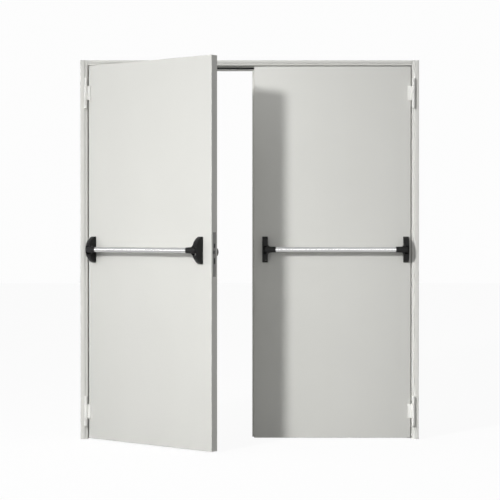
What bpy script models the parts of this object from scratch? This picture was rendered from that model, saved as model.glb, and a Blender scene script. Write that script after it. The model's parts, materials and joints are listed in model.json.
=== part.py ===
# Double-leaf steel fire exit door in a folded sheet frame, with a push bar on each leaf.
# Metres, +Z up. +X runs along the wall and +Y through it, and the leaves open towards -Y.
# The origin is on the underside of the left foot plate, at floor level.
# The left leaf stands open and the right leaf is closed.

import bpy
import bmesh
from math import asin, atan2, cos, pi, radians, sin
from mathutils import Vector

# Frame, folded from sheet
frame_width = 1.900
frame_height = 2.127
frame_depth = 0.125
frame_sheet = 0.002
jamb_face = 0.041
jamb_outer_band = 0.026
head_face = 0.0295
head_outer_band = 0.016
band_setback = 0.004
rebate_depth = 0.054
stop_height = 0.020
wall_return = 0.015
fold_radius = 0.0025
step_radius = 0.0012
foot_plate_thickness = 0.004
anchor_hole_radius = 0.005
anchor_hole_inset = 0.018
origin_from_jamb_edge = 0.022
origin_from_face = 0.050

# Leaves
left_leaf_width = 0.922
leaf_thickness = 0.044
hinge_gap = 0.005
head_gap = 0.005
floor_gap = 0.008
meeting_gap = 0.007
leaf_sheet = 0.0015
leaf_bend_radius = 0.0025
left_leaf_open = radians(40.4)

# Seals in the frame's rebate
seal_width = 0.010
seal_thickness = 0.0045
seal_from_corner = 0.007
seal_edge_radius = 0.001

# Hinges
axis_to_leaf_edge = 0.015
axis_in_front = 0.009
knuckle_radius = 0.0093
knuckle_edge = 0.0008
hinge_pin_radius = 0.005
hinge_running_gap = 0.0003
hinge_height = 0.167
middle_knuckle = 0.081
knuckle_gap = 0.001
hinge_from_leaf_end = 0.150
flap_thickness = 0.003
flap_overlap = 0.017
frame_tab_thickness = 0.006

# Push bars
bar_height = 1.066
bar_from_leaf = 0.049
bar_half_height = 0.0142
bar_half_depth = 0.0100
bar_wall = 0.0016
pivot_from_leaf = 0.015
pivot_above_bar = 0.042
pivot_pin_radius = 0.0035
pivot_pin_anchor = 0.003
pivot_running_gap = 0.0004
push_angle = radians(13)
housing_width = 0.031
housing_height = 0.145
housing_depth = 0.055
housing_end_depth = 0.008
housing_edge_radius = 0.002
arm_thickness = 0.012
arm_half_width = 0.008
socket_reach = 0.060
socket_bore_depth = 0.030
socket_back = 0.008
socket_half_height = 0.0165
socket_half_depth = 0.0105
lever_clearance = 0.0015
socket_clearance = 0.003
socket_stroke_clearance = 0.005
left_housing_from_hinge_edge = 0.044
left_housing_from_free_edge = 0.075
right_housing_from_hinge_edge = 0.027
right_housing_from_free_edge = 0.0612

# Mortise lock in the left leaf
latch_below_bar = 0.010
latch_height = 0.016
latch_width = 0.010
latch_throw = 0.011
latch_tail = 0.030
latch_end_gap = 0.001
latch_clearance = 0.0006
lock_plate_width = 0.024
lock_plate_thickness = 0.003
lock_plate_edge = 0.0004
lock_plate_above_latch = 0.105
lock_plate_below_latch = 0.128
lock_plate_proud = 0.0005
lock_case_height = 0.180
lock_case_below_latch = 0.099
lock_case_depth = 0.085
lock_case_width = 0.016
upper_slot_height = 0.023
upper_slot_above_latch = 0.034
upper_slot_depth = 0.030
slot_width = 0.008
deadbolt_height = 0.032
deadbolt_below_latch = 0.046
deadbolt_channel = 0.050
deadbolt_set_in = 0.012

# Outside furniture on the left leaf
outside_plate_height = 0.220
outside_plate_below_latch = 0.136
outside_plate_width = 0.044
outside_plate_thickness = 0.006
outside_plate_edge = 0.0015
knob_backset = 0.065
knob_radius = 0.029
knob_neck_radius = 0.011
knob_projection = 0.060
cylinder_below_latch = 0.072
cylinder_radius = 0.0085
cylinder_projection = 0.010

# Strike and overlap strip on the right leaf
strike_above_latch = 0.060
strike_below_latch = 0.095
strike_clearance = 0.0025
strike_pocket_depth = 0.020
strip_overlap = 0.010
strip_base = 0.025
strip_sheet = 0.002
strip_offset = 0.005
strip_below_stop = 0.005

# Gap that pieces resting on each other keep, and how far cutters run past a surface
fit_gap = 0.0003
overrun = 0.010

# Sizes worked out from the ones above
leaf_inset = jamb_face + hinge_gap
axis_inset = leaf_inset - axis_to_leaf_edge
right_leaf_width = frame_width - 2 * leaf_inset - meeting_gap - left_leaf_width
leaf_top = frame_height - head_face - head_gap
leaf_bottom = floor_gap
latch_z = bar_height - latch_below_bar
leaf_edge_x = axis_to_leaf_edge
leaf_face_y = axis_in_front
leaf_back_y = leaf_face_y + leaf_thickness
leaf_middle_y = leaf_face_y + leaf_thickness / 2
bar_out = bar_from_leaf - pivot_from_leaf
# The frame's eight folds in order, the third of them inside its step
frame_fold_radii = [fold_radius] * 2 + [step_radius] + [fold_radius] * 5


# General helpers

def clear_scene():
    for obj in list(bpy.data.objects):
        bpy.data.objects.remove(obj, do_unlink=True)


def paint(name, color, roughness, metallic=0.0):
    material = bpy.data.materials.new(name)
    material.use_nodes = True
    shader = material.node_tree.nodes["Principled BSDF"]
    shader.inputs["Base Color"].default_value = (*color, 1.0)
    shader.inputs["Roughness"].default_value = roughness
    shader.inputs["Metallic"].default_value = metallic
    material.diffuse_color = (*color, 1.0)
    return material


def empty(name, parent, location=(0, 0, 0), turn=0.0):
    obj = bpy.data.objects.new(name, None)
    bpy.context.collection.objects.link(obj)
    obj.parent = parent
    obj.location = location
    obj.rotation_euler = (0, 0, turn)
    return obj


def place(name, bm, parent, material, side=1, closed=True):
    # side -1 mirrors the shape in X, for the right-hand leaf and jamb
    if side < 0:
        bmesh.ops.scale(bm, vec=(-1, 1, 1), verts=bm.verts)
        bmesh.ops.reverse_faces(bm, faces=bm.faces)
    if closed:
        bmesh.ops.recalc_face_normals(bm, faces=bm.faces)
    mesh = bpy.data.meshes.new(name)
    bm.to_mesh(mesh)
    bm.free()
    obj = bpy.data.objects.new(name, mesh)
    bpy.context.collection.objects.link(obj)
    obj.parent = parent
    if material is not None:
        mesh.materials.append(material)
    return obj


def smooth(obj, angle=35):
    obj.data.shade_smooth()
    obj.data.set_sharp_from_angle(angle=radians(angle))


def combine(obj, bm, operation, side=1):
    # Cut or join one more shape, kept in the scene as a hidden guide
    tool = place(obj.name + "_tool", bm, obj.parent, None, side)
    tool.hide_render = True
    tool.display_type = "WIRE"
    modifier = obj.modifiers.new(operation.title(), "BOOLEAN")
    modifier.operation = operation
    modifier.solver = "EXACT"
    modifier.object = tool


def cut(obj, bm, side=1):
    combine(obj, bm, "DIFFERENCE", side)


def join(obj, bm, side=1):
    combine(obj, bm, "UNION", side)


# Shape helpers

def box(low, high):
    bm = bmesh.new()
    bmesh.ops.create_cube(bm, size=1.0)
    low, high = Vector(low), Vector(high)
    bmesh.ops.scale(bm, vec=high - low, verts=bm.verts)
    bmesh.ops.translate(bm, vec=(low + high) / 2, verts=bm.verts)
    return bm


def bevelled_box(low, high, radius, segments=2):
    bm = box(low, high)
    bmesh.ops.bevel(bm, geom=bm.edges[:], offset=radius, segments=segments, affect="EDGES", profile=0.5)
    return bm


def prism(points, along):
    # A flat outline of 3D points, extruded by a vector
    bm = bmesh.new()
    face = bm.faces.new([bm.verts.new(p) for p in points])
    grown = bmesh.ops.extrude_face_region(bm, geom=[face])
    verts = [v for v in grown["geom"] if isinstance(v, bmesh.types.BMVert)]
    bmesh.ops.translate(bm, vec=along, verts=verts)
    return bm


def strip(points, along):
    # An open path of 3D points, extruded by a vector into one sheet
    bm = bmesh.new()
    start = [bm.verts.new(p) for p in points]
    end = [bm.verts.new(Vector(p) + Vector(along)) for p in points]
    for a, b, c, d in zip(start, start[1:], end[1:], end):
        bm.faces.new((a, b, c, d))
    return bm


def rounded(points, radii, steps=3):
    # The path with an arc at each inner corner, one radius a corner
    path = [Vector(points[0])]
    for before, corner, after, radius in zip(points, points[1:], points[2:], radii):
        corner = Vector(corner)
        back = (Vector(before) - corner).normalized()
        ahead = (Vector(after) - corner).normalized()
        half = back.angle(ahead) / 2
        centre = corner + (back + ahead).normalized() * radius / sin(half)
        start = corner + back * radius / (sin(half) / cos(half)) - centre
        end = corner + ahead * radius / (sin(half) / cos(half)) - centre
        sweep = start.angle(end)
        for i in range(steps + 1):
            t = i / steps
            path.append(centre + (start * sin((1 - t) * sweep) + end * sin(t * sweep)) / sin(sweep))
    path.append(Vector(points[-1]))
    return path


def turned(profile, centre, segments=24, axis="Z"):
    # A closed solid turned from (radius, distance) pairs about an axis through centre
    bm = bmesh.new()
    rings = []
    for radius, distance in profile:
        ring = []
        for i in range(segments):
            a = 2 * pi * i / segments
            u, v = radius * cos(a), radius * sin(a)
            local = (u, v, distance) if axis == "Z" else (distance, u, v) if axis == "X" else (v, distance, u)
            ring.append(bm.verts.new(Vector(centre) + Vector(local)))
        rings.append(ring)
    bridge(bm, rings)
    return bm


def bridge(bm, rings, ring_shaped=False):
    # Side faces between rings, with flat ends, or back to the first ring where ring_shaped
    pairs = list(zip(rings, rings[1:]))
    if ring_shaped:
        pairs.append((rings[-1], rings[0]))
    for a, b in pairs:
        for i in range(len(a)):
            j = (i + 1) % len(a)
            bm.faces.new((a[i], a[j], b[j], b[i]))
    if not ring_shaped:
        bm.faces.new(list(reversed(rings[0])))
        bm.faces.new(rings[-1])


def oval_points(half_height, half_depth, count=28, power=2.4):
    # A superellipse in (depth, height)
    points = []
    for i in range(count):
        a = 2 * pi * i / count
        c, s = cos(a), sin(a)
        points.append((half_depth * abs(c) ** (2 / power) * (1 if c >= 0 else -1),
                       half_height * abs(s) ** (2 / power) * (1 if s >= 0 else -1)))
    return points


def oval_loft(sections, centre):
    # sections hold (x, half height, half depth), and centre is (y, z)
    bm = bmesh.new()
    rings = [[bm.verts.new((x, centre[0] + d, centre[1] + h)) for d, h in oval_points(hh, hd)]
             for x, hh, hd in sections]
    bridge(bm, rings)
    return bm


# Frame pieces

def jamb_path():
    # Outline of the folded jamb in (from outer edge, from face)
    stop = jamb_face + stop_height
    return [(0, wall_return), (0, 0), (jamb_outer_band, 0), (jamb_outer_band, band_setback),
            (jamb_face, band_setback), (jamb_face, rebate_depth), (stop, rebate_depth),
            (stop, frame_depth), (0, frame_depth), (0, frame_depth - wall_return)]


def fold(obj):
    sheet = obj.modifiers.new("Sheet", "SOLIDIFY")
    sheet.thickness = frame_sheet
    sheet.offset = -1
    sheet.use_even_offset = True


def make_jamb(name, root, side, material):
    start = 0 if side > 0 else frame_width
    path = rounded([(x, y, 0) for x, y in jamb_path()], frame_fold_radii)
    obj = place(name, strip(path, (0, 0, frame_height)), root, material, side, closed=False)
    obj.location.x = start
    fold(obj)
    smooth(obj)
    return obj


def make_head(root, material):
    top = frame_height
    stop = head_face + stop_height
    outline = [(wall_return, 0), (0, 0), (0, head_outer_band), (band_setback, head_outer_band),
               (band_setback, head_face), (rebate_depth, head_face), (rebate_depth, stop),
               (frame_depth, stop), (frame_depth, 0), (frame_depth - wall_return, 0)]
    start = jamb_face + fit_gap
    path = rounded([(start, y, top - down) for y, down in outline], frame_fold_radii)
    obj = place("head", strip(path, (frame_width - 2 * start, 0, 0)), root, material, closed=False)
    fold(obj)
    # The ends are coped round the jambs' stops
    cope = stop_height + fit_gap
    for low in (jamb_face - cope, frame_width - jamb_face - stop_height - fit_gap):
        corner = rebate_depth - fold_radius - fit_gap
        cut(obj, box((low, corner, 0), (low + 2 * cope, frame_depth + cope, top + cope)))
    smooth(obj)
    return obj


def make_foot_plate(name, root, side, material):
    # An anchor plate inside the jamb's foot, with one bolt hole
    inner = frame_sheet + fit_gap
    stop = jamb_face + stop_height - inner
    outline = [(inner, band_setback + inner), (jamb_face - inner, band_setback + inner),
               (jamb_face - inner, rebate_depth + inner), (stop, rebate_depth + inner),
               (stop, frame_depth - inner), (inner, frame_depth - inner)]
    bm = prism([(x, y, 0) for x, y in outline], (0, 0, foot_plate_thickness))
    obj = place(name, bm, root, material, side)
    obj.location.x = 0 if side > 0 else frame_width
    r, inset = anchor_hole_radius, anchor_hole_inset
    ends = [(r, -overrun), (r, foot_plate_thickness + overrun)]
    cut(obj, turned(ends, (stop - inset, frame_depth - inset, 0), segments=20), side)
    follow(obj)
    return obj


def make_seals(root, material):
    # Strips on the face of the stop, with the side seals ending under the head's
    back = rebate_depth - fit_gap
    front = back - seal_thickness
    foot = 2 * floor_gap
    high = frame_height - head_face - seal_from_corner
    under = high - seal_width
    low = jamb_face + seal_from_corner
    for name, side in (("left_seal", 1), ("right_seal", -1)):
        bm = bevelled_box((low, front, foot), (low + seal_width, back, under - fit_gap), seal_edge_radius)
        place(name, bm, root, material, side).location.x = 0 if side > 0 else frame_width
    bm = bevelled_box((low, front, under), (frame_width - low, back, high), seal_edge_radius)
    place("head_seal", bm, root, material)


# Hinges

def hinge_levels():
    return {"top": leaf_top - hinge_from_leaf_end, "bottom": leaf_bottom + hinge_from_leaf_end}


def make_frame_half(name, root, side, level, material):
    # Outer knuckles and pin turned in one, with a tab from each knuckle back to the jamb's inner band
    low, high = -hinge_height / 2, hinge_height / 2
    inner = middle_knuckle / 2 + knuckle_gap
    edge = knuckle_edge
    r, p = knuckle_radius, hinge_pin_radius
    profile = [(p * 0.8, low - 0.002), (p, low - 0.001), (p, low), (r - edge, low), (r, low + edge),
               (r, -inner - edge), (r - edge, -inner), (p, -inner), (p, inner), (r - edge, inner),
               (r, inner + edge), (r, high - edge), (r - edge, high), (p, high), (p, high + 0.001),
               (p * 0.8, high + 0.002)]
    obj = place(name, turned(profile, (0, 0, 0)), root, material, side)
    obj.location = (axis_inset if side > 0 else frame_width - axis_inset, -axis_in_front, level)
    half = frame_tab_thickness / 2
    back = axis_in_front + band_setback - fit_gap
    for a, b in ((low + edge, -inner - edge), (inner + edge, high - edge)):
        join(obj, box((-half, p, a), (half, back, b)), side)
    follow(obj)
    smooth(obj)
    return obj


def follow(obj):
    # Guides lie where the piece that they shape lies
    for modifier in obj.modifiers:
        if modifier.type == "BOOLEAN":
            modifier.object.location = obj.location


def make_leaf_half(name, hinge, side, level, material):
    # Middle knuckle bored for the pin, with a flap over the leaf's face
    half = middle_knuckle / 2
    edge = knuckle_edge
    r = knuckle_radius
    bore = hinge_pin_radius + hinge_running_gap
    obj = place(name, turned([(r - edge, -half), (r, -half + edge), (r, half - edge), (r - edge, half)],
                             (0, 0, 0)), hinge, material, side)
    obj.location = (0, 0, level)
    back = axis_in_front - fit_gap
    reach = axis_to_leaf_edge + flap_overlap
    join(obj, box((0, back - flap_thickness, -half + edge), (reach, back, half - edge)), side)
    cut(obj, turned([(bore, -half - overrun), (bore, half + overrun)], (0, 0, 0)), side)
    follow(obj)
    smooth(obj)
    return obj


# Leaves

def make_leaf(prefix, hinge, side, width, paint_material, core_material):
    # A folded front pan, a back sheet let into its rim, and the core between them
    x0, x1 = leaf_edge_x, leaf_edge_x + width
    bm = box((x0, leaf_face_y, leaf_bottom), (x1, leaf_back_y, leaf_top))
    front = [e for e in bm.edges if not all(v.co.y > leaf_middle_y for v in e.verts)]
    bmesh.ops.bevel(bm, geom=front, offset=leaf_bend_radius, segments=2, affect="EDGES", profile=0.5)
    pan = place(prefix + "_front_pan", bm, hinge, paint_material, side)
    s = leaf_sheet
    cut(pan, box((x0 + s, leaf_face_y + s, leaf_bottom + s),
                 (x1 - s, leaf_back_y + overrun, leaf_top - s)), side)
    inset = s + fit_gap
    sheet = box((x0 + inset, leaf_back_y - s, leaf_bottom + inset),
                (x1 - inset, leaf_back_y, leaf_top - inset))
    place(prefix + "_back_sheet", sheet, hinge, paint_material, side)
    core = place(prefix + "_core", box((x0 + inset, leaf_face_y + inset, leaf_bottom + inset),
                                       (x1 - inset, leaf_back_y - inset, leaf_top - inset)),
                 hinge, core_material, side)
    smooth(pan)
    return pan, core


# Push bars

def housing_outline():
    # Half-disc outline in (distance from leaf, height above bar), with straight ends
    half = housing_height / 2
    rise = housing_depth - housing_end_depth
    radius = (half ** 2 + rise ** 2) / (2 * rise)
    sweep = asin(half / radius)
    arc = [(housing_depth - radius + radius * cos(a), radius * sin(a))
           for a in [sweep * (2 * i / 16 - 1) for i in range(17)]]
    start = (fit_gap, -half)
    end = (fit_gap, half)
    return [start] + arc + [end]


def notch_outline():
    # Room for the socket from rest to pushed in, open to the front
    turn = push_angle
    pushed_out = pivot_from_leaf + bar_out * cos(turn) - pivot_above_bar * sin(turn)
    pushed_down = pivot_above_bar - pivot_above_bar * cos(turn) - bar_out * sin(turn)
    low = pushed_down - socket_half_height - socket_clearance
    high = socket_half_height + socket_clearance
    deep = pushed_out - socket_half_depth - socket_stroke_clearance
    return deep, low, high


def make_housing(name, hinge, side, x, toward, material):
    # toward is +1 where the bar lies further from the hinge than the housing
    half = housing_width / 2
    face = leaf_face_y
    outline = [(x - half, face - d, bar_height + h) for d, h in housing_outline()]
    bm = prism(outline, (housing_width, 0, 0))
    rim = [e for e in bm.edges if all(abs(v.co.x - e.verts[0].co.x) < 1e-6 for v in e.verts)
           and not all(v.co.y > face - 2 * fit_gap for v in e.verts)]
    bmesh.ops.bevel(bm, geom=rim, offset=housing_edge_radius, segments=2, affect="EDGES", profile=0.5)
    obj = place(name, bm, hinge, material, side)
    deep, low, high = notch_outline()
    ahead = housing_depth + overrun
    ends = sorted((x - toward * (socket_back + socket_clearance), x + toward * (half + overrun)))
    cut(obj, box((ends[0], face - ahead, bar_height + low), (ends[1], face - deep, bar_height + high)), side)
    # The arm's slot runs from its pin to the notch
    pin_y, pin_z = face - pivot_from_leaf, bar_height + pivot_above_bar
    boss = arm_half_width + lever_clearance
    slope = atan2(pivot_above_bar, bar_out)
    turns = [(pi / 2 + slope) * i / 10 for i in range(11)]
    slot = [(pin_y + boss * cos(a), pin_z + boss * sin(a)) for a in turns]
    run = (pivot_above_bar + boss * cos(slope) - high) / sin(slope)
    slot += [(pin_y - boss * sin(slope) - run * cos(slope), bar_height + high),
             (face - ahead, bar_height + high), (face - ahead, bar_height + low),
             (face - deep, bar_height + low)]
    slot_half = arm_thickness / 2 + lever_clearance
    cut(obj, prism([(x - slot_half, y, z) for y, z in slot], (2 * slot_half, 0, 0)), side)
    pin_half = slot_half + pivot_pin_anchor
    pin = turned([(pivot_pin_radius, -pin_half), (pivot_pin_radius, pin_half)], (x, pin_y, pin_z), 16, "X")
    join(obj, pin, side)
    smooth(obj)
    return obj


def make_lever(name, pivot, side, x, toward, material):
    # Arm on the housing's pin, turning the corner into the socket that holds the tube
    out, down = -bar_out, -pivot_above_bar
    r_h, r_d = socket_half_height, socket_half_depth
    # How far along the socket, with the share of its full height and depth there
    shape = [(-socket_back, 0.55, 0.45), (-socket_back + 0.0015, 0.8, 0.75),
             (-socket_back + 0.005, 0.96, 0.95), (0, 1, 1), (socket_reach * 0.4, 1, 1),
             (socket_reach - 0.001, 0.98, 0.98), (socket_reach, 0.95, 0.95)]
    sections = [(x + toward * s, r_h * h, r_d * d) for s, h, d in shape]
    obj = place(name, oval_loft(sections, (out, down)), pivot, material, side)
    # The arm is round about its pin and straight down to the socket
    along = Vector((0, out, down)).normalized()
    across = Vector((0, -along.z, along.y))
    tip = Vector((0, out, down)) - along * (r_d * 0.5)
    turns = [pi * i / 10 for i in range(11)]
    outline = [(across * cos(a) - along * sin(a)) * arm_half_width for a in turns]
    outline += [tip - across * arm_half_width, tip + across * arm_half_width]
    start = Vector((x - arm_thickness / 2, 0, 0))
    join(obj, prism([start + p for p in outline], (arm_thickness, 0, 0)), side)
    bore = pivot_pin_radius + pivot_running_gap
    cut(obj, turned([(bore, -arm_thickness), (bore, arm_thickness)], (x, 0, 0), 16, "X"), side)
    ends = [x + toward * (socket_reach - socket_bore_depth), x + toward * (socket_reach + overrun)]
    pocket = [(e, bar_half_height + fit_gap, bar_half_depth + fit_gap) for e in ends]
    cut(obj, oval_loft(pocket, (out, down)), side)
    smooth(obj)
    return obj


def make_tube(name, pivot, side, x0, x1, material):
    # Oval aluminium tube, open at both ends inside the sockets
    out, down = -bar_out, -pivot_above_bar
    start = x0 + socket_reach - socket_bore_depth + fit_gap
    end = x1 - socket_reach + socket_bore_depth - fit_gap
    bm = bmesh.new()
    rings = []
    for x, wall in ((start, 0), (end, 0), (end, bar_wall), (start, bar_wall)):
        points = oval_points(bar_half_height - wall, bar_half_depth - wall)
        rings.append([bm.verts.new((x, out + d, down + h)) for d, h in points])
    bridge(bm, rings, ring_shaped=True)
    obj = place(name, bm, pivot, material, side)
    smooth(obj)
    return obj


def make_push_bar(prefix, hinge, side, from_hinge_edge, from_free_edge, width, black, aluminium):
    x0 = leaf_edge_x + from_hinge_edge
    x1 = leaf_edge_x + width - from_free_edge
    make_housing(prefix + "_hinge_side_housing", hinge, side, x0, 1, black)
    make_housing(prefix + "_free_side_housing", hinge, side, x1, -1, black)
    at_pin = (0, leaf_face_y - pivot_from_leaf, bar_height + pivot_above_bar)
    pivot = empty(prefix + "_bar_pivot", hinge, at_pin)
    make_lever(prefix + "_hinge_side_lever", pivot, side, x0, 1, black)
    make_lever(prefix + "_free_side_lever", pivot, side, x1, -1, black)
    make_tube(prefix + "_bar_tube", pivot, side, x0, x1, aluminium)


# Lock and outside furniture on the left leaf

def make_lock(hinge, pan, core, steel, dark):
    edge = leaf_edge_x + left_leaf_width
    mid = leaf_middle_y
    half = lock_plate_width / 2
    low = latch_z - lock_plate_below_latch
    high = latch_z + lock_plate_above_latch
    face = edge + lock_plate_proud
    back = face - lock_plate_thickness
    # The leaf's edge and core are cut out for the plate and the case
    g = fit_gap
    cut(pan, box((back - g, mid - half - g, low - g), (edge + overrun, mid + half + g, high + g)))
    case_low = latch_z - lock_case_below_latch
    case_high = case_low + lock_case_height
    case_front = back - g
    case_back = case_front - lock_case_depth
    case_half = lock_case_width / 2
    cut(core, box((back - g, mid - half - g, low - g), (edge + overrun, mid + half + g, high + g)))
    cut(core, box((case_back - g, mid - case_half - g, case_low - g),
                  (edge + overrun, mid + case_half + g, case_high + g)))
    shape = bevelled_box((back, mid - half, low), (face, mid + half, high), lock_plate_edge, 1)
    plate = place("lock_faceplate", shape, hinge, steel)
    case = place("lock_case", box((case_back, mid - case_half, case_low),
                                  (case_front, mid + case_half, case_high)), hinge, dark)
    c = latch_clearance
    tail = back - latch_tail
    bolt_z = latch_z - deadbolt_below_latch
    bolt_end = back - deadbolt_channel
    openings = [
        (latch_z, latch_height / 2 + c, latch_width / 2 + c, tail - latch_throw - latch_end_gap),
        (latch_z + upper_slot_above_latch, upper_slot_height / 2, slot_width / 2, back - upper_slot_depth),
        (bolt_z, deadbolt_height / 2, slot_width / 2, bolt_end)]
    for z, half_z, half_y, depth in openings:
        for obj in (plate, case):
            cut(obj, box((depth, mid - half_y, z - half_z), (face + overrun, mid + half_y, z + half_z)))
    half_y, half_z = slot_width / 2 - g, deadbolt_height / 2 - g
    place("deadbolt", box((bolt_end + g, mid - half_y, bolt_z - half_z),
                          (face - deadbolt_set_in, mid + half_y, bolt_z + half_z)), hinge, steel)
    # The latch slides on its own empty, its far side sloped to ride over the strike
    slide = empty("latch_slide", hinge, (edge, mid, latch_z))
    w = latch_width / 2
    tip = face - edge + latch_throw
    nose = [(tail - edge, -w), (tip, -w), (tip, -w * 0.3), (face - edge, w), (tail - edge, w)]
    bolt = prism([(x, y, -latch_height / 2) for x, y in nose], (0, 0, latch_height))
    place("latch_bolt", bolt, slide, steel)


def make_outside_furniture(hinge, steel):
    # Backplate, fixed pull knob and lock cylinder on the far face
    x = leaf_edge_x + left_leaf_width - knob_backset
    face = leaf_back_y + fit_gap
    half = outside_plate_width / 2
    low = latch_z - outside_plate_below_latch
    high = low + outside_plate_height
    back = face + outside_plate_thickness
    plate = bevelled_box((x - half, face, low), (x + half, back, high), outside_plate_edge)
    obj = place("outside_plate", plate, hinge, steel)
    smooth(obj)
    # The knob's rose and neck, then its head about the widest ring
    start = back + fit_gap - leaf_back_y
    neck = knob_neck_radius
    wide = knob_projection - 0.012
    profile = [
        (neck + 0.009, start), (neck + 0.009, start + 0.004), (neck + 0.002, start + 0.008),
        (neck, start + 0.016), (neck + 0.001, wide - 0.014), (knob_radius * 0.86, wide - 0.009),
        (knob_radius, wide - 0.002), (knob_radius, wide + 0.002), (knob_radius * 0.93, wide + 0.007),
        (knob_radius * 0.72, wide + 0.0105), (knob_radius * 0.35, knob_projection)]
    knob = place("outside_knob", turned(profile, (x, leaf_back_y, latch_z), 28, "Y"), hinge, steel)
    smooth(knob)
    z = latch_z - cylinder_below_latch
    r = cylinder_radius
    profile = [(r, start), (r, start + cylinder_projection - 0.001), (r - 0.001, start + cylinder_projection)]
    cylinder = place("lock_cylinder", turned(profile, (x, leaf_back_y, z), 24, "Y"), hinge, steel)
    smooth(cylinder)


# Strike and overlap strip on the right leaf

def make_meeting_edge(hinge, pan, core, steel, paint_material):
    edge = leaf_edge_x + right_leaf_width
    mid = leaf_middle_y
    half = lock_plate_width / 2
    low = latch_z - strike_below_latch
    high = latch_z + strike_above_latch
    face = edge + lock_plate_proud
    back = face - lock_plate_thickness
    g = fit_gap
    for obj in (pan, core):
        cut(obj, box((back - g, mid - half - g, low - g), (edge + overrun, mid + half + g, high + g)), -1)
    shape = bevelled_box((back, mid - half, low), (face, mid + half, high), lock_plate_edge, 1)
    plate = place("strike_plate", shape, hinge, steel, -1)
    c = strike_clearance
    pockets = [(latch_z, latch_height / 2 + c, latch_width / 2 + c),
               (latch_z - deadbolt_below_latch, deadbolt_height / 2 + c, slot_width / 2 + c)]
    for z, half_z, half_y in pockets:
        for obj in (plate, core):
            cut(obj, box((back - strike_pocket_depth, mid - half_y, z - half_z),
                         (face + overrun, mid + half_y, z + half_z)), -1)
    # Joggled strip behind the meeting gap
    y0 = leaf_back_y + g
    a, b, c = edge - strip_base, edge + strip_sheet / 2, edge + strip_overlap
    t, step = strip_sheet, strip_offset
    outline = [(a, y0), (b, y0), (b, y0 + step), (c, y0 + step), (c, y0 + step + t),
               (b - t, y0 + step + t), (b - t, y0 + t), (a, y0 + t)]
    top = frame_height - head_face - stop_height - strip_below_stop
    bm = prism([(x, y, leaf_bottom) for x, y in outline], (0, 0, top - leaf_bottom))
    place("overlap_strip", bm, hinge, paint_material, -1)


# Whole door

def build():
    clear_scene()
    leaf_paint = paint("leaf_paint", (0.70, 0.69, 0.66), 0.45)
    frame_paint = paint("frame_paint", (0.66, 0.65, 0.62), 0.45)
    rubber = paint("seal_rubber", (0.03, 0.03, 0.03), 0.8)
    black = paint("black_plastic", (0.015, 0.015, 0.015), 0.4)
    aluminium = paint("satin_aluminium", (0.80, 0.80, 0.80), 0.3, 1.0)
    steel = paint("lock_steel", (0.45, 0.45, 0.44), 0.4, 1.0)
    case_steel = paint("case_steel", (0.05, 0.05, 0.05), 0.6, 1.0)
    wool = paint("core_wool", (0.35, 0.33, 0.20), 0.95)
    zinc = paint("zinc_plate", (0.55, 0.55, 0.53), 0.5, 1.0)

    root = empty("door_set", None, (-origin_from_jamb_edge, -origin_from_face, 0))
    make_jamb("left_jamb", root, 1, frame_paint)
    make_jamb("right_jamb", root, -1, frame_paint)
    make_head(root, frame_paint)
    make_foot_plate("left_foot_plate", root, 1, zinc)
    make_foot_plate("right_foot_plate", root, -1, zinc)
    make_seals(root, rubber)

    left = empty("left_leaf_axis", root, (axis_inset, -axis_in_front, 0), -left_leaf_open)
    right = empty("right_leaf_axis", root, (frame_width - axis_inset, -axis_in_front, 0))
    for hand, hinge, side in (("left", left, 1), ("right", right, -1)):
        for end, level in hinge_levels().items():
            make_frame_half(f"{hand}_{end}_hinge_frame_half", root, side, level, frame_paint)
            make_leaf_half(f"{hand}_{end}_hinge_leaf_half", hinge, side, level, leaf_paint)

    pan, core = make_leaf("left_leaf", left, 1, left_leaf_width, leaf_paint, wool)
    make_lock(left, pan, core, steel, case_steel)
    make_outside_furniture(left, steel)
    make_push_bar("left", left, 1, left_housing_from_hinge_edge, left_housing_from_free_edge,
                  left_leaf_width, black, aluminium)

    pan, core = make_leaf("right_leaf", right, -1, right_leaf_width, leaf_paint, wool)
    make_meeting_edge(right, pan, core, steel, leaf_paint)
    make_push_bar("right", right, -1, right_housing_from_hinge_edge, right_housing_from_free_edge,
                  right_leaf_width, black, aluminium)
    bpy.context.view_layer.update()


build()
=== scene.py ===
import json
import bpy
import bmesh
from math import radians, pi, cos, sin
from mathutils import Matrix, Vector

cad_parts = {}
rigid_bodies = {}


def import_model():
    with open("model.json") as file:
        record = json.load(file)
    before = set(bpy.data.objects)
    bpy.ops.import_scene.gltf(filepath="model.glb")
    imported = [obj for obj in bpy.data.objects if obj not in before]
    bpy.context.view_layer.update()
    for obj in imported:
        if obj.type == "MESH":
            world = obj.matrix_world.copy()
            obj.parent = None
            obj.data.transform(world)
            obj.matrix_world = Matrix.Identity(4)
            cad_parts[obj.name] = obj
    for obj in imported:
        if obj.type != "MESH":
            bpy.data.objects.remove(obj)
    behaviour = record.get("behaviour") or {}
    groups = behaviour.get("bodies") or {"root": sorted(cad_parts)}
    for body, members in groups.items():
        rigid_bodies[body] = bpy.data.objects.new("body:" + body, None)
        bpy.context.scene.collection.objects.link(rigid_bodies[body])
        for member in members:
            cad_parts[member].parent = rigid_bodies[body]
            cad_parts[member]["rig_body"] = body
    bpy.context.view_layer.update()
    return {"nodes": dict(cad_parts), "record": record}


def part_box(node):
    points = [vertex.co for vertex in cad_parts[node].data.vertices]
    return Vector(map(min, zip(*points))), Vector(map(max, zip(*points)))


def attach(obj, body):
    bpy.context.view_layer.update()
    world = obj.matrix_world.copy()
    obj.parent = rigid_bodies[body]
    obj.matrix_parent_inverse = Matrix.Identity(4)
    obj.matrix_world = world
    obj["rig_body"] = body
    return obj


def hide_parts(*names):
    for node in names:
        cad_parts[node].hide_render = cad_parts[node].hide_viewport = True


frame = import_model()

nodes = frame["nodes"]
nodeSlots = {p["node"]: p["material_slot"] for p in frame["record"]["subparts"]}
scene = bpy.context.scene
scene.view_settings.view_transform = "Standard"
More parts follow.
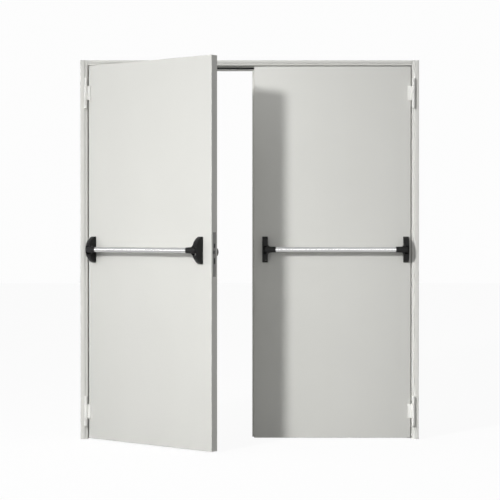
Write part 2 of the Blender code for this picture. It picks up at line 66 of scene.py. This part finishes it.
leftLeafOpen = 40.4   # degrees, as the frame's left leaf stands at rest
print("frame loaded:", len(nodes), "nodes")


def newObject(name, data):
    made = bpy.data.objects.new(name, data)
    bpy.context.collection.objects.link(made)
    return made


# camera, fitted to the photo's frame and leaf corners
cameraSet = {"position": (0.930, -9.318, 1.147), "pitchDown": 0.52, "focalPixels": 1651.3,
             "imagePixels": 500, "sensor": 36.0, "farthest": 200}


def makeCamera(c):
    data = bpy.data.cameras.new("photoCamera")
    data.sensor_width = c["sensor"]
    data.lens = c["sensor"] * c["focalPixels"] / c["imagePixels"]
    data.clip_end = c["farthest"]
    cam = newObject("photoCamera", data)
    cam.location = c["position"]
    cam.rotation_euler = (radians(90 - c["pitchDown"]), 0, 0)
    scene.camera = cam


makeCamera(cameraSet)


# light: one round softbox at the front left, and a room that is brighter on that side
lightSet = {"place": (-2.1, -5.0, 3.2), "aim": (1.9, 0.0, -0.3), "size": 0.5, "spread": 95, "power": 1.74,
            "horizon": (0.42, 0.66, 0.03), "ceiling": (1.0, 0.12, 0.05), "room": 1.50, "white": 0.98}


def hangLamp(data, place, aim):
    lamp = newObject(data.name, data)
    lamp.location = place
    lamp.rotation_euler = (Vector(aim) - Vector(place)).to_track_quat("-Z", "Y").to_euler()


def makeKey(s):
    data = bpy.data.lights.new("softbox", "AREA")
    data.shape = "DISK"
    data.size = s["size"]
    data.spread = radians(s["spread"])
    data.energy = 1.0
    data.use_nodes = True
    tree = data.node_tree
    even = tree.nodes.new("ShaderNodeLightFalloff")   # the same strength over both leaves
    even.inputs["Strength"].default_value = s["power"]
    tree.links.new(even.outputs["Constant"], tree.nodes["Emission"].inputs["Strength"])
    hangLamp(data, s["place"], s["aim"])


def larger(tree, first, second):
    node = tree.nodes.new("ShaderNodeMath")
    node.operation = "MAXIMUM"
    tree.links.new(first, node.inputs[0])
    tree.links.new(second, node.inputs[1])
    return node.outputs[0]


def seenDirectly(tree):
    # 1 for rays that show the white background: the camera's own, and those in gloss and glass
    rays = tree.nodes.new("ShaderNodeLightPath")
    mirrored = larger(tree, rays.outputs["Is Glossy Ray"], rays.outputs["Is Transmission Ray"])
    return larger(tree, rays.outputs["Is Camera Ray"], mirrored)


# two faint strips, whose only work is a bright line along each bar
stripPlaces = {"left": {"place": (-9.0, -1.6, 1.25), "aim": (0.35, -0.4, 1.07)},
               "right": {"place": (1.95, -9.4, 1.25), "aim": (1.4, -0.1, 1.07)}}
stripSet = {"across": 2.2, "up": 0.35, "power": 28.0}


def makeStrips(s):
    for name, strip in stripPlaces.items():
        data = bpy.data.lights.new(name + "_bar_strip", "AREA")
        data.shape = "RECTANGLE"
        data.size, data.size_y = s["across"], s["up"]
        data.energy = s["power"]
        hangLamp(data, strip["place"], strip["aim"])


def grey(share):
    return (share, share, share, 1)


def makeRoom(s):
    world = bpy.data.worlds.new("studio")
    scene.world = world
    world.use_nodes = True
    tree = world.node_tree
    tree.nodes.clear()
    out = tree.nodes.new("ShaderNodeOutputWorld")
    soft = tree.nodes.new("ShaderNodeBackground")
    white = tree.nodes.new("ShaderNodeBackground")
    white.inputs["Color"].default_value = grey(s["white"])
    white.inputs["Strength"].default_value = 1.0
    coord = tree.nodes.new("ShaderNodeTexCoord")
    split = tree.nodes.new("ShaderNodeSeparateXYZ")
    tree.links.new(coord.outputs["Generated"], split.inputs[0])
    across = tree.nodes.new("ShaderNodeMapRange")
    across.inputs["From Min"].default_value = -1
    tree.links.new(split.outputs["X"], across.inputs["Value"])
    rise = tree.nodes.new("ShaderNodeMix")   # from the horizon up to the ceiling
    rise.data_type = "RGBA"
    tree.links.new(split.outputs["Z"], rise.inputs["Factor"])
    colorInputs = {"horizon": 6, "ceiling": 7}   # the Mix node's colours A and B
    for level, slot in colorInputs.items():
        sides = tree.nodes.new("ShaderNodeValToRGB")   # left, middle and right of the room
        sides.color_ramp.elements.new(0.5)
        for stop, share in zip(sides.color_ramp.elements, s[level]):
            stop.color = grey(share)
        tree.links.new(across.outputs[0], sides.inputs[0])
        tree.links.new(sides.outputs[0], rise.inputs[slot])
    tree.links.new(rise.outputs[2], soft.inputs["Color"])   # the Mix node's colour result
    soft.inputs["Strength"].default_value = s["room"]
    pick = tree.nodes.new("ShaderNodeMixShader")
    tree.links.new(seenDirectly(tree), pick.inputs[0])
    tree.links.new(soft.outputs[0], pick.inputs[1])
    tree.links.new(white.outputs[0], pick.inputs[2])
    tree.links.new(pick.outputs[0], out.inputs[0])


makeKey(lightSet)
makeStrips(stripSet)
makeRoom(lightSet)


# floor: plain and pale, with a faint shadow of the door on it
floorSet = {"size": 60.0, "middle": (0.9, 0, 0), "glow": 0.925, "paint": 0.07, "bounce": 0.15}


def makeFloor(f):
    bm = bmesh.new()
    bmesh.ops.create_grid(bm, x_segments=1, y_segments=1, size=f["size"] / 2)
    mesh = bpy.data.meshes.new("floor")
    bm.to_mesh(mesh)
    bm.free()
    floor = newObject("floor", mesh)
    floor.location = f["middle"]
    mat = bpy.data.materials.new("floorWhite")
    mat.use_nodes = True
    tree = mat.node_tree
    tree.nodes.clear()
    out = tree.nodes.new("ShaderNodeOutputMaterial")
    glow = tree.nodes.new("ShaderNodeEmission")
    glow.inputs["Color"].default_value = grey(f["glow"])
    paint = tree.nodes.new("ShaderNodeBsdfDiffuse")
    paint.inputs["Color"].default_value = grey(f["paint"])
    shown = tree.nodes.new("ShaderNodeAddShader")
    tree.links.new(glow.outputs[0], shown.inputs[0])
    tree.links.new(paint.outputs[0], shown.inputs[1])
    bounce = tree.nodes.new("ShaderNodeBsdfDiffuse")   # what the floor gives back to the door
    bounce.inputs["Color"].default_value = grey(f["bounce"])
    pick = tree.nodes.new("ShaderNodeMixShader")
    tree.links.new(seenDirectly(tree), pick.inputs[0])
    tree.links.new(bounce.outputs[0], pick.inputs[1])
    tree.links.new(shown.outputs[0], pick.inputs[2])
    tree.links.new(pick.outputs[0], out.inputs[0])
    mesh.materials.append(mat)


makeFloor(floorSet)
print("camera, light and floor ready")


# materials
def newMaterial(name):
    mat = bpy.data.materials.new(name)
    mat.use_nodes = True
    shader = mat.node_tree.nodes["Principled BSDF"]
    return mat, mat.node_tree, shader


def objectNoise(tree, scale, detail, stretch=(1, 1, 1), turn=0):
    coord = tree.nodes.new("ShaderNodeTexCoord")
    mapping = tree.nodes.new("ShaderNodeMapping")
    mapping.vector_type = "TEXTURE"   # turned first, then stretched
    mapping.inputs["Rotation"].default_value = (0, 0, radians(turn))
    mapping.inputs["Scale"].default_value = [1 / s for s in stretch]
    noise = tree.nodes.new("ShaderNodeTexNoise")
    noise.inputs["Scale"].default_value = scale
    noise.inputs["Detail"].default_value = detail
    tree.links.new(coord.outputs["Object"], mapping.inputs[0])
    tree.links.new(mapping.outputs[0], noise.inputs["Vector"])
    return noise.outputs["Fac"]


def addBump(tree, shader, height, strength, distance):
    bump = tree.nodes.new("ShaderNodeBump")
    bump.inputs["Strength"].default_value = strength
    bump.inputs["Distance"].default_value = distance
    tree.links.new(height, bump.inputs["Height"])
    tree.links.new(bump.outputs[0], shader.inputs["Normal"])


def blendColors(tree, factor, low, high, reach=(0.3, 0.7)):
    # reach is where most of the noise's values lie
    ramp = tree.nodes.new("ShaderNodeValToRGB")
    for stop, color, place in zip(ramp.color_ramp.elements, (low, high), reach):
        stop.color = (*color, 1)
        stop.position = place
    tree.links.new(factor, ramp.inputs[0])
    return ramp.outputs[0]


def spreadRoughness(tree, shader, pattern, roughness, least, most):
    spread = tree.nodes.new("ShaderNodeMapRange")
    spread.inputs["To Min"].default_value = roughness * least
    spread.inputs["To Max"].default_value = roughness * most
    tree.links.new(pattern, spread.inputs["Value"])
    tree.links.new(spread.outputs[0], shader.inputs["Roughness"])


# sizes of the patterns; depths in m
paintSet = {"cloudScale": 2.2, "cloudDetail": 3, "vary": 0.012, "peelScale": 900, "peelDetail": 2,
            "bump": 0.10, "depth": 0.0006}
metalSet = {"detail": 4, "darkest": 0.88, "smoothest": 0.8, "roughest": 1.25, "depth": 0.0003}
plasticSet = {"detail": 2, "smoothest": 0.85, "roughest": 1.15, "depth": 0.0004}


def powderCoat(name, color, roughness=0.48):
    s = paintSet
    mat, tree, shader = newMaterial(name)
    cloudy = objectNoise(tree, s["cloudScale"], s["cloudDetail"])
    low = [c * (1 - s["vary"]) for c in color]
    high = [min(1, c * (1 + s["vary"])) for c in color]
    tree.links.new(blendColors(tree, cloudy, low, high), shader.inputs["Base Color"])
    shader.inputs["Roughness"].default_value = roughness
    addBump(tree, shader, objectNoise(tree, s["peelScale"], s["peelDetail"]), s["bump"], s["depth"])
    return mat


def brushedMetal(name, color, roughness, stretch, grain=400, bump=0.15, turn=0):
    # turn is the angle from the X axis to the brushing, about Z
    s = metalSet
    mat, tree, shader = newMaterial(name)
    lines = objectNoise(tree, grain, s["detail"], stretch, turn)
    low = [c * s["darkest"] for c in color]
    tree.links.new(blendColors(tree, lines, low, color), shader.inputs["Base Color"])
    shader.inputs["Metallic"].default_value = 1.0
    spreadRoughness(tree, shader, lines, roughness, s["smoothest"], s["roughest"])
    addBump(tree, shader, lines, bump, s["depth"])
    return mat


def mouldedPlastic(name, color, roughness, gloss=0.5, grain=1400, bump=0.25):
    s = plasticSet
    mat, tree, shader = newMaterial(name)
    shader.inputs["Base Color"].default_value = (*color, 1)
    shader.inputs["Specular IOR Level"].default_value = gloss
    speck = objectNoise(tree, grain, s["detail"])
    spreadRoughness(tree, shader, speck, roughness, s["smoothest"], s["roughest"])
    addBump(tree, shader, speck, bump, s["depth"])
    return mat


barMetal = {"color": (0.56, 0.56, 0.56), "roughness": 0.18, "stretch": (0.02, 1, 1), "bump": 0.02}
finishes = {
    "leaf_paint": powderCoat("leafPowderCoat", (0.740, 0.739, 0.702)),
    "frame_paint": powderCoat("framePowderCoat", (0.735, 0.732, 0.697)),
    "hinge_paint": powderCoat("hingePaint", (0.860, 0.858, 0.825), 0.36),
    "seal_rubber": mouldedPlastic("sealRubber", (0.022, 0.022, 0.022), 0.75, 0.2),
    "black_plastic": mouldedPlastic("blackNylon", (0.003, 0.003, 0.003), 0.28, 0.24),
    "bar_aluminium": brushedMetal("satinAluminium", **barMetal),
    "lock_steel": brushedMetal("lockSteel", (0.17, 0.17, 0.165), 0.38, (1, 1, 0.03)),
    # lock case steel is near black: painted shade, for the lock case where it shows through the faceplate's
    # openings and for the keyway sheet
    "lock_case_steel": brushedMetal("caseSteelPaintedShade", (0.005, 0.005, 0.005), 0.6, (1, 1, 0.1)),
    "outside_steel": brushedMetal("outsideSteel", (0.085, 0.085, 0.083), 0.35, (1, 1, 0.05)),
    "core_wool": mouldedPlastic("pressedWool", (0.36, 0.33, 0.20), 0.95, 0.3, 300, 0.6),
    "foot_zinc": brushedMetal("footZinc", (0.55, 0.55, 0.53), 0.5, (1, 1, 1), 60),
}
# the open leaf's bar is brushed along its own length
leftBarFinish = brushedMetal("satinAluminiumLeft", **barMetal, turn=-leftLeafOpen)
print("materials ready:", len(finishes) + 1)


def wear(obj, slotName):
    obj.data.materials.clear()
    turned = slotName == "bar_aluminium" and obj.name.startswith("left_")
    obj.data.materials.append(leftBarFinish if turned else finishes[slotName])


def fitPiece(piece, slotName, body):
    wear(piece, slotName)
    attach(piece, body)
    return piece


def smoothRounds(mesh, angle):
    mesh.shade_smooth()
    mesh.set_sharp_from_angle(angle=radians(angle))


for nodeName, node in nodes.items():
    wear(node, nodeSlots[nodeName])


# merged copies of the CAD solids, with eased edges and smooth rounds
# each entry: (width of the eased edge in m, smoothing angle in degrees)
easedEdges = {
    "left_jamb": (0, 30), "right_jamb": (0, 30), "head": (0, 30),
    "left_leaf_front_pan": (0, 30), "right_leaf_front_pan": (0, 30),
    "overlap_strip": (0.0004, 30), "left_leaf_back_sheet": (0, 30), "right_leaf_back_sheet": (0, 30),
    "lock_faceplate": (0, 30), "strike_plate": (0, 30), "latch_bolt": (0.0005, 30),
    "outside_plate": (0, 40), "outside_knob": (0, 40), "lock_cylinder": (0, 40),
    "left_bar_tube": (0.0003, 40), "right_bar_tube": (0.0003, 40),
}
for hand in ("left", "right"):
    for end in ("hinge_side", "free_side"):
        easedEdges[f"{hand}_{end}_housing"] = (0.0006, 35)
        easedEdges[f"{hand}_{end}_lever"] = (0.0006, 35)
    for end in ("top", "bottom"):
        easedEdges[f"{hand}_{end}_hinge_frame_half"] = (0.0003, 35)
        easedEdges[f"{hand}_{end}_hinge_leaf_half"] = (0.0003, 35)


mergeSet = {"doubles": 0.00002, "flatWithin": 0.5, "easeSegments": 2}   # m, degrees, count


def dress(nodeName, ease, angle, m):
    source = nodes[nodeName]
    bm = bmesh.new()
    bm.from_mesh(source.data)
    bmesh.ops.remove_doubles(bm, verts=bm.verts, dist=m["doubles"])
    bmesh.ops.dissolve_limit(bm, angle_limit=radians(m["flatWithin"]), verts=bm.verts, edges=bm.edges)
    mesh = bpy.data.meshes.new(nodeName + "_finish")
    bm.to_mesh(mesh)
    bm.free()
    piece = newObject(nodeName + "_finish", mesh)
    smoothRounds(mesh, angle)
    if ease:
        edge = piece.modifiers.new("easedEdge", "BEVEL")
        edge.width = ease
        edge.segments = m["easeSegments"]
        edge.limit_method = "ANGLE"
        edge.angle_limit = radians(angle)
        edge.use_clamp_overlap = True
        edge.harden_normals = True
    fitPiece(piece, nodeSlots[nodeName], source["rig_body"])
    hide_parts(nodeName)


for nodeName, (ease, angle) in easedEdges.items():
    dress(nodeName, ease, angle, mergeSet)
print("pieces dressed:", len(easedEdges))


def addPiece(name, bm, body, slotName, angle=35):
    mesh = bpy.data.meshes.new(name)
    bmesh.ops.recalc_face_normals(bm, faces=bm.faces)
    bm.to_mesh(mesh)
    bm.free()
    piece = newObject(name, mesh)
    smoothRounds(mesh, angle)
    return fitPiece(piece, slotName, body)


def loft(rings):
    # a closed solid through rings of points, with flat ends
    bm = bmesh.new()
    made = [[bm.verts.new(p) for p in ring] for ring in rings]
    for a, b in zip(made, made[1:]):
        for i in range(len(a)):
            j = (i + 1) % len(a)
            bm.faces.new((a[i], a[j], b[j], b[i]))
    bm.faces.new(list(reversed(made[0])))
    bm.faces.new(made[-1])
    return bm


# each leaf's own axes: x from the hinge axis along the leaf, y into it, z up
leafAxes = {"left": {"hinge": (0.009, -0.059), "open": leftLeafOpen, "side": 1},
            "right": {"hinge": (1.847, -0.059), "open": 0, "side": -1}}


def turnOnLeaf(hand, x, y, z):
    # a direction given in the leaf's own axes
    a = radians(leafAxes[hand]["open"])
    x = x * leafAxes[hand]["side"]
    return Vector((x * cos(a) + y * sin(a), -x * sin(a) + y * cos(a), z))


def onLeaf(hand, x, y, z):
    return turnOnLeaf(hand, x, y, z) + Vector((*leafAxes[hand]["hinge"], 0))


# flared collars, where each bar's socket grows towards its housing
collarSet = {"barFromAxis": -0.040, "barHeight": 1.066, "near": 0.0175, "far": 0.041,
             "nearHalf": (0.0285, 0.0165), "farHalf": (0.0166, 0.0106), "nearSetBack": 0.010, "rim": 0.001,
             "steps": 12, "stepGrowth": 1.6, "flare": 6, "around": 48, "squareness": 2.4}
housingsAt = {("left", "hinge"): 0.059, ("left", "free"): 0.862,
              ("right", "hinge"): 0.042, ("right", "free"): 0.8328}


def ovalRing(hand, x, halfHeight, halfDepth, setBack, c):
    ring = []
    for i in range(c["around"]):
        a = 2 * pi * i / c["around"]
        across, up = [abs(v) ** (2 / c["squareness"]) * (1 if v >= 0 else -1) for v in (cos(a), sin(a))]
        ring.append(onLeaf(hand, x, c["barFromAxis"] + setBack + halfDepth * across,
                           c["barHeight"] + halfHeight * up))
    return ring


def makeCollar(hand, end, c):
    toward = 1 if end == "hinge" else -1
    rings = []
    for i in range(c["steps"] + 1):
        t = (i / c["steps"]) ** c["stepGrowth"]
        grow = (1 - t) ** c["flare"]   # a short trumpet that runs out into the socket
        high, deep = [far + (near - far) * grow for near, far in zip(c["nearHalf"], c["farHalf"])]
        x = housingsAt[hand, end] + toward * (c["near"] + (c["far"] - c["near"]) * t)
        setBack = c["nearSetBack"] * grow
        if i == 0:
            rings.append(ovalRing(hand, x, high - c["rim"], deep - c["rim"], setBack, c))
            x += toward * c["rim"]
        rings.append(ovalRing(hand, x, high, deep, setBack, c))
    addPiece(f"{hand}_{end}_side_collar", loft(rings), hand + "_push_bar", "black_plastic")


for hand, end in housingsAt:
    makeCollar(hand, end, collarSet)
print("collars made:", len(housingsAt))


# rubber seals with a raised bulb between two flat lips
sealProfile = [(-0.0050, 0), (-0.0050, 0.0011), (-0.0032, 0.0014), (-0.0029, 0.0030), (-0.0018, 0.0041),
               (0, 0.0045), (0.0018, 0.0041), (0.0029, 0.0030), (0.0032, 0.0014), (0.0050, 0.0011),
               (0.0050, 0)]


def makeSeal(nodeName):
    low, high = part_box(nodeName)
    upright = high[2] - low[2] > high[0] - low[0]
    rings = []
    for end in (low, high):
        if upright:
            middle = (low[0] + high[0]) / 2
            rings.append([(middle + u, high[1] - v, end[2]) for u, v in sealProfile])
        else:
            middle = (low[2] + high[2]) / 2
            rings.append([(end[0], high[1] - v, middle + u) for u, v in sealProfile])
    piece = addPiece(nodeName + "_profile", loft(rings), nodes[nodeName]["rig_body"], "seal_rubber", 50)
    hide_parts(nodeName)


for nodeName in ("left_seal", "right_seal", "head_seal"):
    makeSeal(nodeName)
print("seals made")


# screw heads, pin ends and rivets: one node tree sets a cross-recessed head on each point
headShape = {"Head Radius": 0.004, "Head Height": 0.001, "Recess Length": 0.004, "sides": 32,
             "topShare": 0.86, "armShare": 0.26, "cutShare": 1.3}


def makeHeadTree(h):
    tree = bpy.data.node_groups.new("recessedHeads", "GeometryNodeTree")
    tree.interface.new_socket("Geometry", in_out="INPUT", socket_type="NodeSocketGeometry")
    for label in ("Head Radius", "Head Height", "Recess Length"):
        socket = tree.interface.new_socket(label, in_out="INPUT", socket_type="NodeSocketFloat")
        socket.default_value = h[label]
    tree.interface.new_socket("Finish", in_out="INPUT", socket_type="NodeSocketMaterial")
    tree.interface.new_socket("Geometry", in_out="OUTPUT", socket_type="NodeSocketGeometry")
    add = tree.nodes.new
    given, result = add("NodeGroupInput"), add("NodeGroupOutput")

    def scaled(source, share):
        node = add("ShaderNodeMath")
        node.operation = "MULTIPLY"
        tree.links.new(given.outputs[source], node.inputs[0])
        node.inputs[1].default_value = share
        return node.outputs[0]

    head = add("GeometryNodeMeshCone")
    head.inputs["Vertices"].default_value = h["sides"]
    tree.links.new(given.outputs["Head Radius"], head.inputs["Radius Bottom"])
    tree.links.new(scaled("Head Radius", h["topShare"]), head.inputs["Radius Top"])
    tree.links.new(given.outputs["Head Height"], head.inputs["Depth"])
    cut = add("GeometryNodeMeshBoolean")
    cut.operation = "DIFFERENCE"
    tree.links.new(head.outputs["Mesh"], cut.inputs["Mesh 1"])
    for across, along in ((h["armShare"], 1), (1, h["armShare"])):   # the two arms of the cross
        size = add("ShaderNodeCombineXYZ")
        tree.links.new(scaled("Recess Length", across), size.inputs["X"])
        tree.links.new(scaled("Recess Length", along), size.inputs["Y"])
        tree.links.new(scaled("Head Height", h["cutShare"]), size.inputs["Z"])
        arm = add("GeometryNodeMeshCube")
        tree.links.new(size.outputs[0], arm.inputs["Size"])
        lift = add("ShaderNodeCombineXYZ")
        tree.links.new(given.outputs["Head Height"], lift.inputs["Z"])
        move = add("GeometryNodeTransform")
        tree.links.new(arm.outputs["Mesh"], move.inputs["Geometry"])
        tree.links.new(lift.outputs[0], move.inputs["Translation"])
        tree.links.new(move.outputs[0], cut.inputs["Mesh 2"])
    facing = add("GeometryNodeInputNamedAttribute")
    facing.data_type = "FLOAT_VECTOR"
    facing.inputs["Name"].default_value = "facing"
    turn = add("FunctionNodeAlignRotationToVector")
    turn.axis = "Z"
    tree.links.new(facing.outputs["Attribute"], turn.inputs["Vector"])
    setOn = add("GeometryNodeInstanceOnPoints")
    tree.links.new(given.outputs["Geometry"], setOn.inputs["Points"])
    tree.links.new(cut.outputs["Mesh"], setOn.inputs["Instance"])
    tree.links.new(turn.outputs[0], setOn.inputs["Rotation"])
    real = add("GeometryNodeRealizeInstances")
    tree.links.new(setOn.outputs[0], real.inputs[0])
    finish = add("GeometryNodeSetMaterial")
    tree.links.new(real.outputs[0], finish.inputs["Geometry"])
    tree.links.new(given.outputs["Finish"], finish.inputs["Material"])
    tree.links.new(finish.outputs[0], result.inputs["Geometry"])
    return tree


headTree = makeHeadTree(headShape)

# heads by piece; each place is (x, y, z, facing) in the leaf's own axes
screwHead = {"Head Radius": 0.0042, "Head Height": 0.0006, "Recess Length": 0.0044}
plateHead = {"Head Radius": 0.0042, "Head Height": 0.0010, "Recess Length": 0.0044}
rivetHead = {"Head Radius": 0.0040, "Head Height": 0.0012, "Recess Length": 0.0010}
pinHead = {"Head Radius": 0.0052, "Head Height": 0.0011, "Recess Length": 0.0046}
edgeward, outward = (1, 0, 0), (0, 1, 0)
rivetSet = {"first": 0.10, "pitch": 0.19, "count": 11}   # up the overlap strip
rivetHeights = [rivetSet["first"] + rivetSet["pitch"] * i for i in range(rivetSet["count"])]
headSets = {
    "lock_screws": {"hand": "left", "slot": "lock_steel", "head": screwHead,
                    "at": [(0.9375, 0.031, z, edgeward) for z in (0.938, 1.151)]},
    "outside_plate_screws": {"hand": "left", "slot": "outside_steel", "head": plateHead,
                             "at": [(0.872, 0.0593, z, outward) for z in (0.931, 1.129)]},
    "strike_screws": {"hand": "right", "slot": "lock_steel", "head": screwHead,
                      "at": [(0.8945, 0.031, z, edgeward) for z in (0.969, 1.108)]},
    "strip_rivets": {"hand": "right", "slot": "leaf_paint", "head": rivetHead,
                     "at": [(0.8815, 0.0553, z, outward) for z in rivetHeights]},
}
pinSet = {"fromMiddle": 0.0155, "y": -0.006, "z": 1.108}   # a pin's two ends, on a housing's sides
for hand in ("left", "right"):
    pinEnds = [(x + side * pinSet["fromMiddle"], pinSet["y"], pinSet["z"], (side, 0, 0))
               for (leaf, end), x in housingsAt.items() if leaf == hand for side in (-1, 1)]
    headSets[f"{hand}_housing_pins"] = {"hand": hand, "slot": "black_plastic", "head": pinHead, "at": pinEnds}


def setHeads(name, s, sunk=0.0002):
    spots = [(onLeaf(s["hand"], x, y, z), turnOnLeaf(s["hand"], *facing)) for x, y, z, facing in s["at"]]
    points = bpy.data.meshes.new(name + "_points")
    points.from_pydata([place - aim.normalized() * sunk for place, aim in spots], [], [])
    facing = points.attributes.new("facing", "FLOAT_VECTOR", "POINT")
    for i, (place, aim) in enumerate(spots):
        facing.data[i].vector = aim
    holder = newObject(name + "_points", points)
    mod = holder.modifiers.new("heads", "NODES")
    mod.node_group = headTree
    values = {**s["head"], "Finish": finishes[s["slot"]]}
    for item in headTree.interface.items_tree:
        if item.in_out == "INPUT" and item.name in values:
            mod[item.identifier] = values[item.name]
    made = holder.evaluated_get(bpy.context.evaluated_depsgraph_get())
    mesh = bpy.data.meshes.new_from_object(made)
    mesh.name = name
    holder.modifiers.remove(mod)
    bpy.data.objects.remove(holder)
    fitPiece(newObject(name, mesh), s["slot"], s["hand"] + "_leaf")


for name, headSet in headSets.items():
    setHeads(name, headSet)
print("screws, pins and rivets set:", len(headSets))


# keyway on the outside cylinder's face: a thin near-black sheet in the wavy slot's shape, standing just
# proud, as painted shade in place of the hollow
keySet = {"x": 0.872, "z": 0.984, "face": 0.0696, "proud": 0.00015, "sunk": 0.0002}
keyOutline = [(-0.0006, -0.0045), (0.0006, -0.0045), (0.0006, -0.0020), (0.0013, -0.0010), (0.0013, 0.0004),
              (0.0004, 0.0012), (0.0004, 0.0032), (0.0010, 0.0045), (-0.0006, 0.0045), (-0.0006, 0.0020),
              (-0.0011, 0.0010), (-0.0011, -0.0008), (-0.0006, -0.0016)]


def makeKeywayShade(k):
    rings = [[onLeaf("left", k["x"] + u, k["face"] + depth, k["z"] + v) for u, v in keyOutline]
             for depth in (-k["sunk"], k["proud"])]
    addPiece("cylinder_keyway_painted_shade", loft(rings), "left_leaf", "lock_case_steel")


makeKeywayShade(keySet)
print("keyway made")
